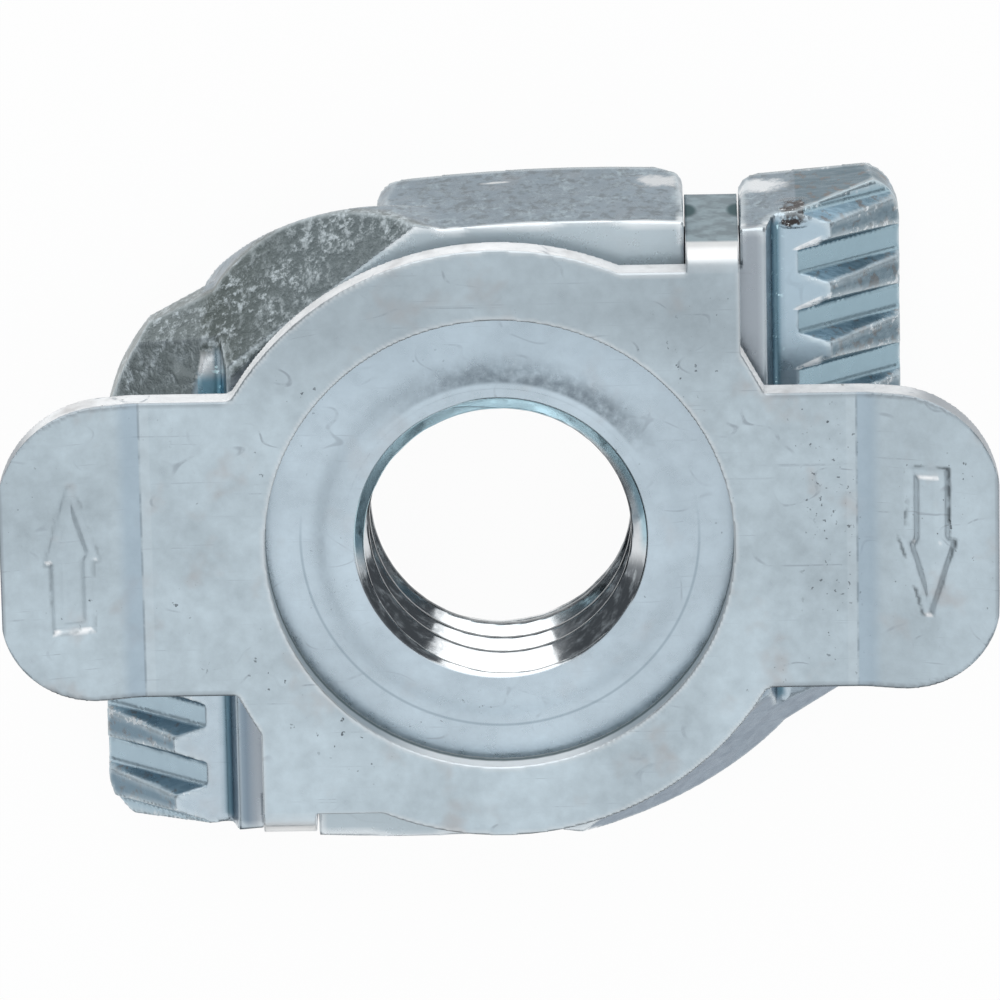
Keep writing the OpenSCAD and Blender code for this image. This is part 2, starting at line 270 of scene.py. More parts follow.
class Bench:
    """Adds nodes to one node tree and joins them."""

    def __init__(self, tree: bpy.types.NodeTree) -> None:
        """Takes the tree to work in.

        Args:
            tree: the node tree.
        """
        self.tree = tree

    def node(self, kind: str, **settings: object) -> bpy.types.Node:
        """Adds a node.

        Args:
            kind: Blender's name of the node type.
            settings: properties to set on it.

        Returns:
            The new node.
        """
        made = self.tree.nodes.new(kind)
        for key, value in settings.items():
            setattr(made, key, value)
        return made

    def feed(self, socket: Socket, value: Share | Colour) -> None:
        """Joins a socket to an output, or sets its number or colour.

        Args:
            socket: the input to feed.
            value: an output, a number or a colour.
        """
        if isinstance(value, Socket):
            self.tree.links.new(value, socket)
        elif isinstance(value, tuple) and len(value) == 3 and socket.type == "RGBA":
            socket.default_value = (*value, 1.0)
        else:
            socket.default_value = value

    def math(self, operation: str, a: Share, b: Share = 0.0, clamp: bool = False) -> Socket:
        """One step on one or two numbers.

        Args:
            operation: Blender's name of the step.
            a: first number.
            b: second number, where the step has one.
            clamp: whether the result is kept from 0 to 1.

        Returns:
            The result.
        """
        step = self.node("ShaderNodeMath", operation=operation, use_clamp=clamp)
        self.feed(step.inputs[0], a)
        self.feed(step.inputs[1], b)
        return step.outputs[0]

    def plus(self, a: Share, b: Share) -> Socket:
        """The sum a + b."""
        return self.math("ADD", a, b)

    def minus(self, a: Share, b: Share) -> Socket:
        """The difference a - b."""
        return self.math("SUBTRACT", a, b)

    def larger(self, a: Share, b: Share) -> Socket:
        """The larger of two numbers, which joins two masks."""
        return self.math("MAXIMUM", a, b)

    def size(self, a: Share) -> Socket:
        """The number without its sign."""
        return self.math("ABSOLUTE", a)

    def other(self, share: Share) -> Socket:
        """The rest of a share, 1 - share."""
        return self.minus(1.0, share)

    def product(self, *factors: Share) -> Share:
        """Product of several masks or numbers.

        Args:
            factors: the masks or numbers; a single one is returned as it is.

        Returns:
            The product.
        """
        total = factors[0]
        for factor in factors[1:]:
            total = self.math("MULTIPLY", total, factor)
        return total

    def rise(self, value: Share, low: float, high: float) -> Socket:
        """A mask that goes smoothly from 0 at low to 1 at high, or falls where low is above high.

        Args:
            value: the number that the mask follows.
            low: where the mask is 0.
            high: where the mask is 1.

        Returns:
            The mask.
        """
        span = self.node("ShaderNodeMapRange", interpolation_type="SMOOTHSTEP")
        falls = low > high
        self.feed(span.inputs["Value"], value)
        span.inputs["From Min"].default_value = min(low, high)
        span.inputs["From Max"].default_value = max(low, high)
        span.inputs["To Min"].default_value = 1.0 if falls else 0.0
        span.inputs["To Max"].default_value = 0.0 if falls else 1.0
        return span.outputs["Result"]

    def window(self, value: Share, low: float, high: float, blur: float) -> Socket:
        """A mask that is 1 between low and high and falls off over a blur outside them.

        Args:
            value: the number that the mask follows.
            low: lower end of the window.
            high: upper end of the window.
            blur: way over which the mask falls off.

        Returns:
            The mask.
        """
        return self.product(self.rise(value, low - blur, low), self.rise(value, high + blur, high))

    def noise(self, place: Socket, scale: float, detail: float = 2.0, rough: float = 0.5) -> Socket:
        """Cloudy noise.

        Args:
            place: the place that the noise follows.
            scale: number of swells for each unit of place.
            detail: number of finer layers.
            rough: share of each finer layer.

        Returns:
            The noise, about 0.5 on average.
        """
        cloud = self.node("ShaderNodeTexNoise")
        self.feed(cloud.inputs["Vector"], place)
        cloud.inputs["Scale"].default_value = scale
        cloud.inputs["Detail"].default_value = detail
        cloud.inputs["Roughness"].default_value = rough
        return cloud.outputs["Fac"]

    def veins(self, place: Socket, scale: float, width: float) -> Socket:
        """Thin curved lines: the places where a cloudy noise passes its middle value.

        Args:
            place: the place that the noise follows.
            scale: number of swells for each unit of place.
            width: half the band of noise values that a line takes in.

        Returns:
            The mask of the lines.
        """
        off = self.size(self.minus(self.noise(place, scale, 1.0, 0.4), 0.5))
        return self.rise(off, width, 0.25 * width)

    def blend(self, share: Share, a: Socket | Colour, b: Socket | Colour, mode: str = "MIX") -> Socket:
        """Colour a with a share of colour b.

        Args:
            share: share of b.
            a: first colour.
            b: second colour.
            mode: Blender's name of the way to mix.

        Returns:
            The mixed colour.
        """
        mix = self.node("ShaderNodeMix", data_type="RGBA", blend_type=mode)
        self.feed(mix.inputs["Factor"], share)
        self.feed(mix.inputs[MIX_A], a)
        self.feed(mix.inputs[MIX_B], b)
        return mix.outputs[MIX_RESULT]

    def place_mm(self, scale: Colour = (1.0, 1.0, 1.0), turn: float = 0.0) -> Socket:
        """Object coordinates in millimetres, stretched and turned about Z.

        Args:
            scale: factor along each axis.
            turn: angle about Z, in degrees.

        Returns:
            The place as a vector.
        """
        source = self.node("ShaderNodeTexCoord")
        fit = self.node("ShaderNodeMapping")
        self.tree.links.new(source.outputs["Object"], fit.inputs["Vector"])
        fit.inputs["Scale"].default_value = tuple(s / MM for s in scale)
        fit.inputs["Rotation"].default_value = (0.0, 0.0, math.radians(turn))
        return fit.outputs["Vector"]

    def attribute(self, name: str) -> Socket:
        """A number that the piece's skin stores for each point."""
        return self.node("ShaderNodeAttribute", attribute_name=name).outputs["Fac"]


def zinc_skin_group() -> bpy.types.NodeTree:
    """Group for bright zinc plating: clouds, scratches, pits and stains.

    Inputs are the plating's own colour and the shares of clouds, scratches, pits and stains. Outputs
    are the colour, the roughness and the height that vary over the surface.

    Returns:
        The node group.
    """
    tree = bpy.data.node_groups.new("zinc_skin", "ShaderNodeTree")
    face = tree.interface
    face.new_socket("Tint", in_out="INPUT", socket_type="NodeSocketColor")
    for name in PLATING_SHARES:
        face.new_socket(name, in_out="INPUT", socket_type="NodeSocketFloat")
    face.new_socket("Color", in_out="OUTPUT", socket_type="NodeSocketColor")
    face.new_socket("Roughness", in_out="OUTPUT", socket_type="NodeSocketFloat")
    face.new_socket("Height", in_out="OUTPUT", socket_type="NodeSocketFloat")
    bench = Bench(tree)
    given = bench.node("NodeGroupInput")
    place = bench.place_mm()
    # Broad and fine clouds of the plating
    broad = bench.noise(place, 0.22, 2.0, 0.55)
    fine = bench.noise(place, 1.6, 4.0, 0.62)
    fine_swing = bench.minus(fine, 0.5)
    swing = bench.plus(bench.minus(broad, 0.5), bench.product(fine_swing, 0.8))
    light = bench.plus(1.0, bench.product(swing, given.outputs["Cloud"]))
    # Straight scratches in two directions and curled ones, broken up by the fine clouds
    lines = [
        bench.rise(bench.noise(bench.place_mm((0.16, 7.0, 1.0), turn), 1.0, 2.0, 0.6), 0.66, 0.76)
        for turn in (24.0, 118.0)
    ]
    gaps = bench.rise(bench.noise(bench.place_mm(turn=140.0), 0.55, 1.0, 0.5), 0.5, 0.66)
    curls = bench.product(bench.veins(bench.place_mm((1.0, 1.6, 1.0), 50.0), 0.35, 0.012), gaps, 1.3)
    every = bench.larger(bench.larger(*lines), curls)
    scratch = bench.product(every, bench.rise(fine, 0.42, 0.58), given.outputs["Scratch"])
    # Small ragged pits, in loose clusters
    ragged = bench.noise(bench.place_mm((1.0, 0.8, 1.0), 15.0), 4.6, 2.0, 0.7)
    cluster = bench.rise(bench.noise(bench.place_mm(turn=80.0), 0.3, 1.0, 0.5), 0.48, 0.66)
    pit = bench.product(bench.rise(ragged, 0.685, 0.73), cluster, given.outputs["Pit"])
    # Warm stains on the crests of a broad cloud
    haze = bench.noise(bench.place_mm(turn=63.0), 0.42, 3.0, 0.6)
    stain = bench.product(bench.rise(haze, 0.56, 0.74), given.outputs["Stain"])
    lit = bench.blend(1.0, given.outputs["Tint"], light, "MULTIPLY")
    warm = bench.blend(stain, lit, (0.42, 0.39, 0.38))
    ruled = bench.blend(scratch, warm, (0.28, 0.32, 0.36))
    pitted = bench.blend(pit, ruled, (0.06, 0.07, 0.08))
    rough = bench.plus(given.outputs["Rough"], bench.product(fine_swing, 0.30))
    rough = bench.math("ADD", rough, bench.product(scratch, 0.12), clamp=True)
    height = bench.product(fine, 0.6)
    out = bench.node("NodeGroupOutput")
    bench.feed(out.inputs["Color"], pitted)
    bench.feed(out.inputs["Roughness"], rough)
    bench.feed(out.inputs["Height"], height)
    return tree


def dented_metal_group() -> bpy.types.NodeTree:
    """Group for metal dented by tumbling: dents of two sizes, which the finishes paint as bright glints on a
    darker ground.

    Returns:
        The node group, with outputs for the share of dents that take painted glints and for the height.
    """
    tree = bpy.data.node_groups.new("dented_metal", "ShaderNodeTree")
    face = tree.interface
    face.new_socket("Dents", in_out="OUTPUT", socket_type="NodeSocketFloat")
    face.new_socket("Height", in_out="OUTPUT", socket_type="NodeSocketFloat")
    bench = Bench(tree)
    place = bench.place_mm()
    drift = bench.noise(place, 0.7, 2.0, 0.65)
    crumbs = bench.noise(place, 3.6, 3.0, 0.72)
    flecks = bench.noise(bench.place_mm((2.0, 1.0, 1.0), 35.0), 1.5, 3.0, 0.7)
    small = bench.product(bench.rise(crumbs, 0.48, 0.70), 0.9)
    large = bench.product(bench.rise(flecks, 0.50, 0.72), 0.9)
    patchy = bench.plus(0.2, bench.product(bench.rise(drift, 0.36, 0.64), 0.8))
    dents = bench.product(bench.larger(small, large), patchy)
    height = bench.plus(bench.product(crumbs, 0.7), bench.product(flecks, 0.8))
    out = bench.node("NodeGroupOutput")
    bench.feed(out.inputs["Dents"], dents)
    bench.feed(out.inputs["Height"], height)
    return tree


@dataclass(frozen=True)
class Zinc:
    """Colours and shares of one piece's bright zinc plating.

    Attributes:
        front: colour of faces that look out of the front.
        wall: colour of cut and pressed walls.
        edge: colour of rubbed edges, partly wear and partly painted highlight.
        hollow: colour of painted shade in inner corners.
        rough: roughness of the plain plating.
        cloud: share of clouds.
        scratch: share of scratches.
        pit: share of pits.
        stain: share of warm stains.
        bump: depth of the skin's grain, in metres.
    """

    front: Colour
    wall: Colour
    edge: Colour
    hollow: Colour
    rough: float
    cloud: float
    scratch: float
    pit: float
    stain: float
    bump: float


PLATE_ZINC = Zinc(
    front=(0.472, 0.553, 0.602),
    wall=(0.95, 0.96, 0.965),
    edge=(0.74, 0.76, 0.765),
    hollow=(0.20, 0.26, 0.30),
    rough=0.34,
    cloud=0.62,
    scratch=0.5,
    pit=0.8,
    stain=0.48,
    bump=0.010 * MM,
)
BODY_ZINC = Zinc(
    front=(0.50, 0.59, 0.655),
    wall=(0.225, 0.285, 0.335),
    edge=(0.66, 0.74, 0.78),
    hollow=(0.06, 0.12, 0.17),
    rough=0.30,
    cloud=0.5,
    scratch=0.3,
    pit=0.5,
    stain=0.22,
    bump=0.016 * MM,
)


class ZincMaterial:
    """A zinc-plated material that is built up step by step from the shared groups."""

    def __init__(self, name: str, zinc: Zinc, skin: bpy.types.NodeTree) -> None:
        """Starts the material with its shader and plain plating.

        Args:
            name: name of the material.
            zinc: its colours and shares.
            skin: the shared plating group.
        """
        self.material = bpy.data.materials.new(name)
        self.material.use_nodes = True
        tree = self.material.node_tree
        tree.nodes.clear()
        self.bench = Bench(tree)
        self.zinc = zinc
        self.shader = self.bench.node("ShaderNodeBsdfPrincipled")
        out = self.bench.node("ShaderNodeOutputMaterial")
        tree.links.new(self.shader.outputs["BSDF"], out.inputs["Surface"])
        facing = self.bench.attribute("front")
        walls = self.bench.blend(facing, zinc.wall, zinc.front)
        self.skin = self.bench.node("ShaderNodeGroup", node_tree=skin)
        self.bench.feed(self.skin.inputs["Tint"], walls)
        for socket in PLATING_SHARES:
            self.skin.inputs[socket].default_value = getattr(zinc, socket.lower())
        self.colour: Socket = self.skin.outputs["Color"]
        self.rough: Socket = self.skin.outputs["Roughness"]
        self.height: Socket = self.skin.outputs["Height"]
        self.metal: Share = 1.0

    def tint(self, colour: Socket | Colour, *shares: Share) -> None:
        """Lays a colour over what is there.

        Args:
            colour: the colour.
            shares: masks and numbers whose product is the colour's share.
        """
        self.colour = self.bench.blend(self.bench.product(*shares), self.colour, colour)

    def dull(self, *shares: Share) -> None:
        """Takes the metal's mirror away, as on torn and sheared faces.

        Args:
            shares: masks and numbers whose product is the share that is taken.
        """
        self.metal = self.bench.product(self.metal, self.bench.other(self.bench.product(*shares)))

    def roughen(self, *factors: Share) -> None:
        """Adds roughness.

        Args:
            factors: masks and numbers whose product is added.
        """
        self.rough = self.bench.math("ADD", self.rough, self.bench.product(*factors), clamp=True)

    def raise_by(self, *factors: Share) -> None:
        """Adds height, in units of the bump's depth.

        Args:
            factors: masks, heights and numbers whose product is added.
        """
        self.height = self.bench.plus(self.height, self.bench.product(*factors))

    def flatten(self, share: Share) -> None:
        """Takes the height away by a share, where the metal is cut smooth.

        Args:
            share: the share that is taken.
        """
        self.height = self.bench.product(self.height, self.bench.other(share))

    def paint_rubbed_sheen_and_corner_shade(self, where: Share, edge_share: float, hollow_share: float) -> None:
        """Brightens bent-out edges, partly as rubbed wear and partly as painted highlight, and paints shade
        into inner corners, by the skin's stored bends.

        Args:
            where: share of the surface that takes part.
            edge_share: how far edges go to their own colour.
            hollow_share: how far inner corners go to their painted shade.
        """
        self.tint(self.zinc.edge, self.bench.attribute("edge"), edge_share, where)
        self.tint(self.zinc.hollow, self.bench.attribute("hollow"), hollow_share, where)

    def close(self) -> bpy.types.Material:
        """Joins colour, roughness, metal and height to the shader.

        Returns:
            The material.
        """
        bump = self.bench.node("ShaderNodeBump")
        bump.inputs["Strength"].default_value = 1.0
        bump.inputs["Distance"].default_value = self.zinc.bump
        self.bench.feed(bump.inputs["Height"], self.height)
        self.bench.feed(self.shader.inputs["Base Color"], self.colour)
        self.bench.feed(self.shader.inputs["Roughness"], self.rough)
        self.bench.feed(self.shader.inputs["Metallic"], self.metal)
        self.bench.feed(self.shader.inputs["Normal"], bump.outputs["Normal"])
        return self.material


class Places:
    """Places on a piece that its finish is laid out by, in millimetres.

    Attributes:
        bench: bench of the material.
        x, y, z: the place itself.
        out: distance from the middle plane across the wings.
        reach: distance from the middle plane along the wings.
        radius: distance from the hole axis.
        front: share by which the face looks out of the front.
        steep: share by which it looks aside instead.
        edge: share by which the skin bends out.
    """

    def __init__(self, bench: Bench) -> None:
        """Adds the nodes that work the places out.

        Args:
            bench: bench of the material.
        """
        self.bench = bench
        split = bench.node("ShaderNodeSeparateXYZ")
        bench.feed(split.inputs[0], bench.place_mm())
        self.x, self.y, self.z = (split.outputs[k] for k in "XYZ")
        self.out = bench.size(self.x)
        self.reach = bench.size(self.y)
        square = bench.plus(bench.product(self.x, self.x), bench.product(self.y, self.y))
        self.radius = bench.math("SQRT", square)
        self.front = bench.attribute("front")
        self.steep = bench.other(self.front)
        self.edge = bench.attribute("edge")


class BodyPlaces(Places):
    """Places on the body, with its dents.

    Attributes:
        side_x: x after the half turn that brings the place to the upper side.
        above: mask of the upper side.
        below: mask of the lower side.
        ragged: noise that breaks up the outlines of spots.
        dents: share of dents, which take painted glints.
        relief: height of the dents.
    """

    def __init__(self, bench: Bench, dented: bpy.types.NodeTree) -> None:
        """Adds the nodes that work the places out.

        Args:
            bench: bench of the material.
            dented: the group for dented metal.
        """
        super().__init__(bench)
        self.side_x = bench.product(self.x, bench.math("SIGN", self.y))
        self.above = bench.rise(self.y, 0.0, 1.0)
        self.below = bench.rise(self.y, 0.0, -1.0)
        self.ragged = bench.noise(bench.place_mm(), 2.6, 3.0, 0.65)
        group = bench.node("ShaderNodeGroup", node_tree=dented)
        self.dents, self.relief = group.outputs["Dents"], group.outputs["Height"]


@dataclass
class ThreadWall:
    """Wall of the threaded hole: lip, lead-in, thread and rear countersink in one fine surface.

    Attributes:
        minor_r: minor radius of the thread.
        major_r: major radius of the thread.
        pitch: rise of the thread for each turn.
        start: share of a turn by which the thread starts lower.
        lead_r: radius of the lead-in at the front.
        lip_r: outer radius of the lip that lies on the collar.
        top_z: height of the collar.
        sink_r: radius of the countersink at the rear.
        crest_share: share of the pitch from the root's middle to a crest.
        root_share: share of the pitch from the root's middle to a flank.
        turns: number of points round the hole.
        steps: number of points along it.
    """

    minor_r: float = 4.35 * MM
    major_r: float = 5.02 * MM
    pitch: float = 1.5 * MM
    start: float = 0.56
    lead_r: float = 4.85 * MM
    lip_r: float = 5.2 * MM
    top_z: float = 6.1 * MM
    sink_r: float = 5.25 * MM
    crest_share: float = 0.46
    root_share: float = 0.08
    turns: int = 300
    steps: int = 140

    def build(self) -> Piece:
        """Makes the surface of radius r over the angle and the height.

        With t = angle / 2 pi and w = the fraction of z / pitch - t + start, the thread's radius is
        minor + (major - minor) * f(w), where f rises and falls in straight flanks between a flat
        crest and a narrow root. r is the largest of the thread, the lead-in cone
        lead - (top - z) and the countersink sink - z. Above the top row lies the lip, eight microns
        proud of the collar, rounded into the lead-in.

        Returns:
            The piece, with its crests stored.
        """
        angle = np.linspace(0.0, 2.0 * np.pi, self.turns, endpoint=False)
        height = np.linspace(self.top_z - 0.03 * MM, 0.05 * MM, self.steps)
        z, phi = np.meshgrid(height, angle, indexing="ij")
        way = np.mod(z / self.pitch - phi / (2.0 * np.pi) + self.start, 1.0)
        slant = (self.crest_share - np.abs(way - 0.5)) / (self.crest_share - self.root_share)
        flank = np.clip(slant, 0.0, 1.0)
        thread = self.minor_r + (self.major_r - self.minor_r) * flank
        cone = np.maximum(self.lead_r - (self.top_z - z), self.sink_r - z)
        radius = np.maximum(thread, cone)
        lip_z = self.top_z + 0.008 * MM
        lip = np.array(
            [
                [self.lip_r, lip_z],
                [self.lead_r + 0.08 * MM, lip_z],
                [self.lead_r + 0.01 * MM, self.top_z - 0.012 * MM],
            ]
        )
        ones = np.ones((1, self.turns))
        radius = np.concatenate([lip[:, :1] * ones, radius])
        z = np.concatenate([lip[:, 1:] * ones, z])
        phi = np.concatenate([np.repeat(angle[None], len(lip), axis=0), phi])
        rows = np.stack([radius * np.cos(phi), radius * np.sin(phi), z], axis=-1)
        wall = Piece("thread_wall", grid_mesh("thread_wall", rows, True))
        crest = (thread > cone) * smooth_step(-flank, -0.10, -0.02)
        wall.store("crest", np.concatenate([np.zeros((len(lip), self.turns)), crest]).ravel())
        wall.store("front", smooth_step(wall.normals[:, 2], 0.75, 0.97))
        return wall


@dataclass(frozen=True)
class PaintedHighlight:
    """A soft painted highlight on an upper side wall, in millimetres.

    Attributes:
        x, z: its middle.
        half_x, half_z: way over which it fades.
        white: its brightness.
    """

    x: float
    z: float
    half_x: float
    half_z: float
    white: float

    @property
    def colour(self) -> Colour:
        """A white that is a little cool."""
        return (0.97 * self.white, self.white, 1.02 * self.white)


# Painted highlights on the upper side walls of the body
PAINTED_HIGHLIGHTS = (
    PaintedHighlight(5.4, 1.35, 1.2, 1.0, 0.72),
    PaintedHighlight(8.75, 1.25, 1.5, 1.2, 0.86),
    PaintedHighlight(0.05, 1.2, 0.8, 0.18, 0.72),
)


@dataclass
class NutBody:
    """Pressed body with its threaded hole, dovetail flanges and dented leading corners.

    Attributes:
        node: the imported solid's name.
        grid: grid of the skin, in metres.
        bore_r: radius to which the skin's hole is cleared for the thread's own wall.
        bevel_turn: direction that the leading corner's bevel faces, in degrees.
        bevel_d: distance from the axis to the bevel's front edge.
        bevel_z: height of the bevel's front edge.
        bevel_lean: lean of the bevel from the axis, in degrees.
        collar_foot_r: radius of the collar's foot.
        groove_x: distance from the hole axis to the start of the grooves.
        groove_top: height of the groove floors at their start.
        groove_fall: fall of the groove floors for each unit of way outwards.
        groove_y: height of the upper side of one groove floor on the right.
        groove_lean: how far a groove's wall leans out for each unit of way outwards.
        tooth_pitch: distance between neighbouring grooves.
    """

    node: str = "nut_body"
    grid: float = 0.14 * MM
    bore_r: float = 5.06 * MM
    bevel_turn: float = 127.0
    bevel_d: float = 10.0 * MM
    bevel_z: float = 5.3 * MM
    bevel_lean: float = 34.0
    collar_foot_r: float = 6.6 * MM
    groove_x: float = 9.95 * MM
    groove_top: float = 4.05 * MM
    groove_fall: float = math.tan(math.radians(40.0))
    groove_y: float = 9.18 * MM
    groove_lean: float = 0.55 * math.tan(math.radians(40.0))
    tooth_pitch: float = 2.06 * MM
    skin: Skin | None = field(default=None, repr=False)
    thread: Piece | None = field(default=None, repr=False)

    def build(self, node: bpy.types.Object) -> None:
        """Makes the skin, softens its edges, clears its hole for the thread and adds the thread.

        Args:
            node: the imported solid.
        """
        self.skin = Skin(node, "pressed_body", self.grid)
        self.skin.soften(2)
        self.skin.mark_edges()
        rows = self.skin.points
        radius = np.hypot(rows[:, 0], rows[:, 1])
        rows[:, :2] *= (np.maximum(radius, self.bore_r) / np.maximum(radius, 1e-9))[:, None]
        self.skin.points = rows
        self.skin.store("front", smooth_step(self.skin.normals[:, 2], 0.55, 0.95))
        self.skin.store("up", smooth_step(self.skin.normals[:, 1], 0.3, 0.6))
        self.thread = ThreadWall().build()

    def bevel_share(self, bench: Bench) -> Socket:
        """Mask of the dented bevel on the upper leading corner: points near its plane.

        The distance from the plane is n . p - c, with n the plane's unit normal.

        Args:
            bench: bench of the material.

        Returns:
            A share from 0 to 1.
        """
        turn, lean = math.radians(self.bevel_turn), math.radians(self.bevel_lean)
        normal = Vector((math.cos(turn) * math.cos(lean), math.sin(turn) * math.cos(lean), math.sin(lean)))
        on_edge = Vector((math.cos(turn) * self.bevel_d, math.sin(turn) * self.bevel_d, self.bevel_z))
        dot = bench.node("ShaderNodeVectorMath", operation="DOT_PRODUCT")
        bench.feed(dot.inputs[0], bench.place_mm())
        dot.inputs[1].default_value = normal
        off = bench.size(bench.minus(dot.outputs["Value"], normal.dot(on_edge) / MM))
        return bench.rise(off, 0.45, 0.15)

    def dress_walls(self, coat: ZincMaterial, at: BodyPlaces) -> None:
        """Gives the pressed walls their dents with painted glints, soft spots of painted highlight and a
        painted highlight along the front edge.

        Args:
            coat: the body's material.
            at: places on the body.
        """
        bench = at.bench
        walls = bench.product(at.steep, bench.rise(at.radius, 7.5, 8.0))
        upper = bench.rise(at.y, -1.0, 0.0)
        coat.tint((0.095, 0.115, 0.125), walls, upper, bench.rise(at.ragged, 0.48, 0.62), 0.5)
        # Painted glints on the dents of the upper walls
        coat.tint((0.37, 0.46, 0.51), walls, upper, at.dents)
        # Lower walls in blue blotches, with faint painted glints on the dents
        blotches = bench.rise(at.ragged, 0.36, 0.64)
        mottled = bench.blend(blotches, (0.175, 0.23, 0.295), (0.22, 0.285, 0.355))
        mottled = bench.blend(bench.product(at.dents, 0.3), mottled, (0.34, 0.43, 0.50))
        coat.tint(mottled, walls, at.below, 0.9)
        coat.raise_by(walls, at.relief, 0.7)
        side = bench.rise(at.reach, 9.7, 9.9)
        # Painted highlights: soft white spots with ragged outlines on the upper side walls
        for spot in PAINTED_HIGHLIGHTS:
            across = bench.window(at.side_x, spot.x, spot.x, spot.half_x)
            near = bench.product(side, upper, across, bench.window(at.z, spot.z, spot.z, spot.half_z))
            painted_light_share = bench.rise(bench.plus(near, bench.product(at.ragged, 1.2)), 0.8, 1.35)
            coat.tint(spot.colour, painted_light_share, bench.rise(near, 0.0, 0.4), 0.9)
        block = bench.product(at.front, bench.rise(at.reach, 8.0, 8.5), bench.rise(at.out, 6.6, 6.4))
        coat.tint((0.50, 0.58, 0.62), block, 0.7)
        coat.dull(block, 0.6)
        # Painted highlight along the front edges of the side walls
        coat.tint((0.96, 0.97, 0.98), at.edge, side, bench.rise(at.z, 4.6, 4.9))

    def dress_neck(self, coat: ZincMaterial, at: BodyPlaces) -> None:
        """Shades the strip of the front beside the flanges, most of all on the lower side.

        Args:
            coat: the body's material.
            at: places on the body.
        """
        bench = at.bench
        strip = bench.product(bench.window(at.out, 8.1, 8.9, 0.1), bench.rise(at.z, 4.9, 5.1))
        coat.tint((0.29, 0.31, 0.34), strip, 0.75)
        coat.tint((0.15, 0.22, 0.29), strip, at.below, bench.rise(at.out, 8.2, 8.8), 0.85)

    def dress_teeth(self, coat: ZincMaterial, at: BodyPlaces) -> None:
        """Gives the teeth blue walls with drawn streaks and rust, pale groove floors, painted light on the
        walls that look up, and painted glints.

        With d the way out from the grooves' start, a floor lies at groove_top - groove_fall d, and
        the wall above it ends groove_lean d higher up than the floor does.

        Args:
            coat: the body's material.
            at: places on the body.
        """
        bench = at.bench
        toothed = bench.rise(bench.product(at.y, bench.math("SIGN", at.x)), -1.2, -0.2)
        teeth = bench.product(bench.rise(at.out, 9.9, 10.0), bench.rise(at.z, 4.5, 4.3), toothed)
        way = bench.minus(at.out, self.groove_x / MM)
        slope = bench.minus(self.groove_top / MM, bench.product(way, self.groove_fall))
        floor = bench.rise(bench.size(bench.minus(at.z, slope)), 0.16, 0.08)
        level = bench.product(bench.window(at.out, 9.3, 11.0, 0.1), bench.window(at.z, 3.9, 4.5, 0.2))
        coat.tint((0.34, 0.47, 0.56), at.front, level, at.above, 0.5)
        drawn = bench.rise(bench.noise(bench.place_mm((0.3, 2.0, 2.0)), 3.0, 2.0, 0.6), 0.38, 0.66)
        blue = bench.blend(drawn, (0.085, 0.15, 0.19), (0.155, 0.225, 0.27))
        coat.tint(bench.blend(at.below, blue, (0.17, 0.265, 0.33)), teeth, at.steep, 0.85)
        # Painted light: walls that look up are painted paler, most near the grooves' start and less on the
        # lower side
        flank = bench.product(teeth, bench.attribute("up"), bench.rise(at.reach, 10.6, 10.4))
        near = bench.plus(0.45, bench.product(bench.rise(at.out, 12.2, 10.9), 0.55))
        flank = bench.product(flank, near, bench.minus(0.9, bench.product(at.below, 0.4)))
        coat.tint(bench.blend(drawn, (0.22, 0.35, 0.45), (0.33, 0.50, 0.62)), flank)
        coat.dull(flank, 0.7)
        coat.tint((0.17, 0.14, 0.125), teeth, at.steep, bench.rise(at.ragged, 0.52, 0.66), 0.7)
        pale = bench.blend(at.below, (0.37, 0.515, 0.59), (0.47, 0.60, 0.68))
        coat.tint(pale, teeth, floor, bench.rise(at.steep, 0.1, 0.3), 0.9)
        # Painted glints along the grooves' upper edges near their start and on dented edges of the teeth
        pitch = self.tooth_pitch / MM
        turns = bench.math("FRACT", bench.math("DIVIDE", bench.minus(at.y, self.groove_y / MM), pitch))
        rim = bench.minus(bench.product(turns, pitch), bench.product(way, self.groove_lean))
        start = bench.product(bench.window(at.out, 10.0, 10.6, 0.25), bench.rise(at.z, 2.9, 3.1))
        glint = bench.product(bench.rise(rim, 0.14, 0.07), start, bench.rise(at.z, 4.5, 4.4))
        glint = bench.product(glint, at.above, bench.rise(at.ragged, 0.30, 0.44))
        edge_glint = bench.product(at.edge, teeth, bench.rise(at.out, 10.2, 10.5), bench.rise(at.dents, 0.25, 0.5))
        glint = bench.larger(glint, edge_glint)
        coat.tint((0.95, 0.96, 0.97), glint)
        coat.dull(glint, 0.9)

    def dress_hollows(self, coat: ZincMaterial, at: BodyPlaces) -> None:
        """Gives the ledge's lead-in its painted shine, the hollow its painted dark blue shade with painted
        cyan glints, and the end its torn metal with painted glints.

        Args:
            coat: the body's material.
            at: places on the body.
        """
        bench = at.bench
        ramp = bench.product(bench.window(at.x, -9.9, -9.0, 0.05), bench.rise(at.y, 2.5, 3.0))
        # Painted highlight: the lead-in white towards its top, over a blue below
        shine = bench.blend(bench.rise(at.y, 4.9, 5.4), (0.30, 0.55, 0.68), (0.97, 0.98, 0.99))
        coat.tint(shine, ramp, bench.window(at.z, 3.8, 4.6, 0.1), 0.85)
        # Painted shade in the hollow, dark blue, with painted cyan glints in spots on the upper side
        spots = bench.product(bench.rise(at.ragged, 0.60, 0.66), at.above)
        deep = bench.blend(spots, (0.05, 0.15, 0.21), (0.60, 0.88, 0.95))
        coat.tint(deep, bench.attribute("hollow"), bench.window(at.out, 8.8, 9.6, 0.1), 0.85)
        end = bench.product(bench.rise(at.y, 9.7, 10.2), bench.window(at.x, 9.7, 10.0, 0.8))
        end = bench.product(end, bench.window(at.z, 3.3, 4.1, 1.0))
        coat.raise_by(bench.rise(end, 0.3, 0.7), at.relief, 4.0)
        torn = bench.rise(bench.plus(bench.product(end, 0.6), at.ragged), 0.9, 1.08)
